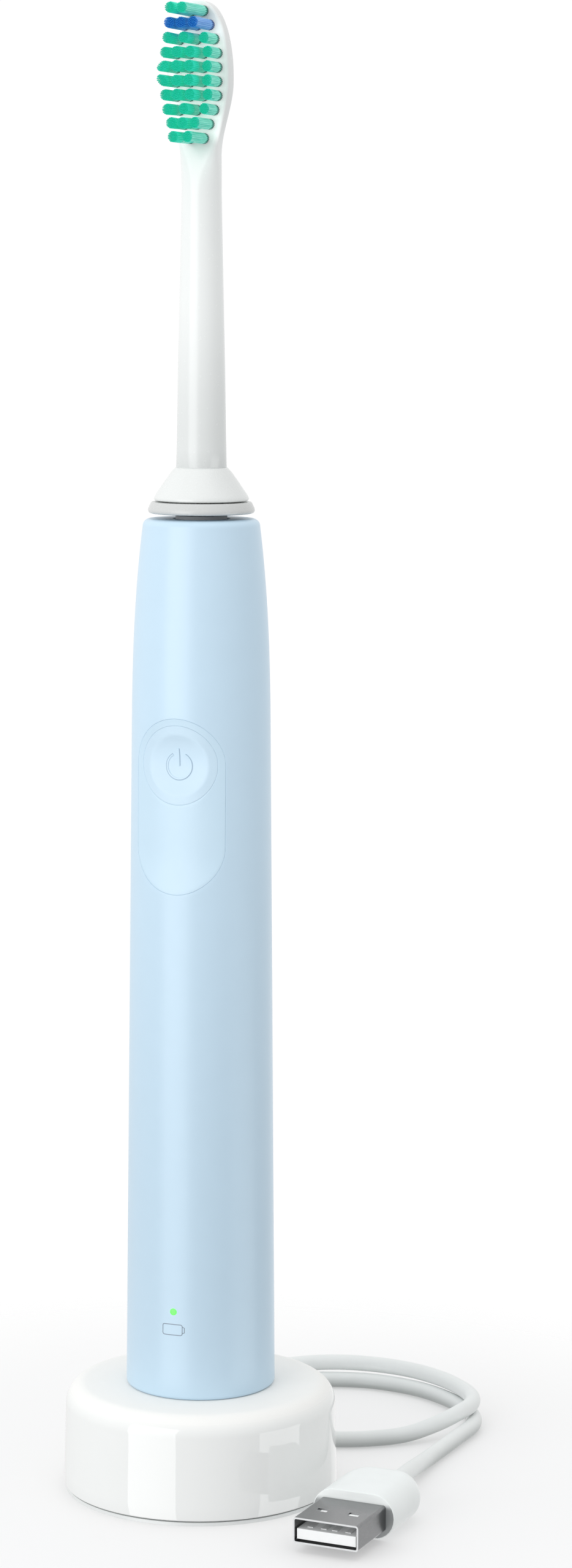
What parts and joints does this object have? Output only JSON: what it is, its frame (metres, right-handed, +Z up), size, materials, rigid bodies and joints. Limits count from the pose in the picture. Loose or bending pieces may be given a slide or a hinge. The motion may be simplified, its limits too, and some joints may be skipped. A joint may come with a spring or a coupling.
{
  "type": "electric toothbrush on charger",
  "caption": "Slim round-handled electric toothbrush with an oval bristle head, standing on a low round charger with a short USB lead.",
  "frame": {"origin": "centre of the charger's round underside, on the surface it stands on", "axes": "+Z up along the brush's axis, -Y towards the front with the button and the bristles, +X to the right seen from the front"},
  "size_m": [0.0679, 0.0991, 0.2605],
  "materials": {
    "white_housing": "glossy white moulded plastic",
    "white_cover": "satin white moulded plastic",
    "plug_white": "smooth white moulded grip",
    "white_rubber": "matt white rubber",
    "cord_jacket": "smooth white cord jacket",
    "plug_steel": "nickel plated steel, satin",
    "tongue_white": "smooth white",
    "contact_metal": "tin plated",
    "handle_blue": "light blue satin plastic",
    "pad_blue": "light blue soft touch",
    "button_blue": "light blue satin, dished",
    "light_green": "clear green light window",
    "seal_grey": "dark grey rubber",
    "ring_grey": "satin grey plastic",
    "head_white": "smooth white plastic",
    "bristle_green": "green nylon filaments, deeper at the tips",
    "bristle_blue": "blue nylon filaments, deeper at the tips",
    "dark_plastic": "black moulded plastic",
    "copper": "enamelled copper winding",
    "ferrite": "dark sintered ferrite",
    "board": "green solder mask",
    "black_rubber": "black rubber",
    "chassis_white": "off-white moulded plastic",
    "cell_wrap": "green shrink sleeve",
    "nickel": "nickel plated",
    "lamination": "stacked electrical steel",
    "shaft_steel": "ground stainless steel",
    "bronze": "sintered bronze"
  },
  "bodies": {
    "charger": {"charger_housing": "white_housing", "charger_base_cover": "white_cover", "charger_bobbin": "dark_plastic", "charger_coil": "copper", "charger_core": "ferrite", "charger_board": "board", "charger_board_parts": "dark_plastic", "cord_relief": "white_rubber", "power_cord": "cord_jacket", "plug_grip": "plug_white", "plug_shell": "plug_steel", "plug_tongue": "tongue_white", "plug_contacts": "contact_metal"},
    "handle": {"handle_shell": "handle_blue", "grip_pad": "pad_blue", "charge_light_guide": "light_green", "handle_end_cap": "handle_blue", "end_cap_seal": "black_rubber", "pickup_bobbin": "dark_plastic", "pickup_coil": "copper", "chassis": "chassis_white", "battery_cell": "cell_wrap", "battery_tabs": "nickel", "circuit_board": "board", "circuit_board_parts": "dark_plastic", "switch_body": "nickel", "stator_core": "lamination", "stator_coil": "copper", "lower_bush": "bronze", "upper_bush": "bronze", "shaft_seal": "seal_grey"},
    "button": {"power_button": "button_blue"},
    "switch_plunger_body": {"switch_plunger": "dark_plastic"},
    "drive_shaft_body": {"drive_shaft": "shaft_steel", "rotor_yoke": "lamination", "rotor_magnets": "nickel"},
    "brush_head": {"brush_head_shell": "head_white", "collar_skirt": "head_white", "colour_ring": "ring_grey", "shaft_socket": "chassis_white", "socket_clip": "shaft_steel", "bristles_green": "bristle_green", "bristles_blue": "bristle_blue"}
  },
  "joints": [
    {"name": "lift_off", "type": "slide", "parent": "charger", "child": "handle", "axis": [0, 0, 1], "range_m": [0, 0.04]},
    {"name": "power_button", "type": "slide", "parent": "handle", "child": "button", "axis": [0, 1, 0], "range_m": [0, 0.0005], "stiffness_N_per_m": 1200},
    {"name": "switch_travel", "type": "slide", "parent": "handle", "child": "switch_plunger_body", "axis": [0, 1, 0], "range_m": [0, 0.0005]},
    {"name": "shaft_sweep", "type": "hinge", "parent": "handle", "child": "drive_shaft_body", "pos_m": [0, 0, 0.16], "axis": [0, 0, 1], "range_deg": [-5, 5], "stiffness_Nm_per_rad": 0.05},
    {"name": "head_pull_off", "type": "slide", "parent": "drive_shaft_body", "child": "brush_head", "axis": [0, 0, 1], "range_m": [0, 0.03]}
  ],
  "couplings": [
    {"joint": "switch_travel", "follows": "power_button", "ratio": 1}
  ]
}
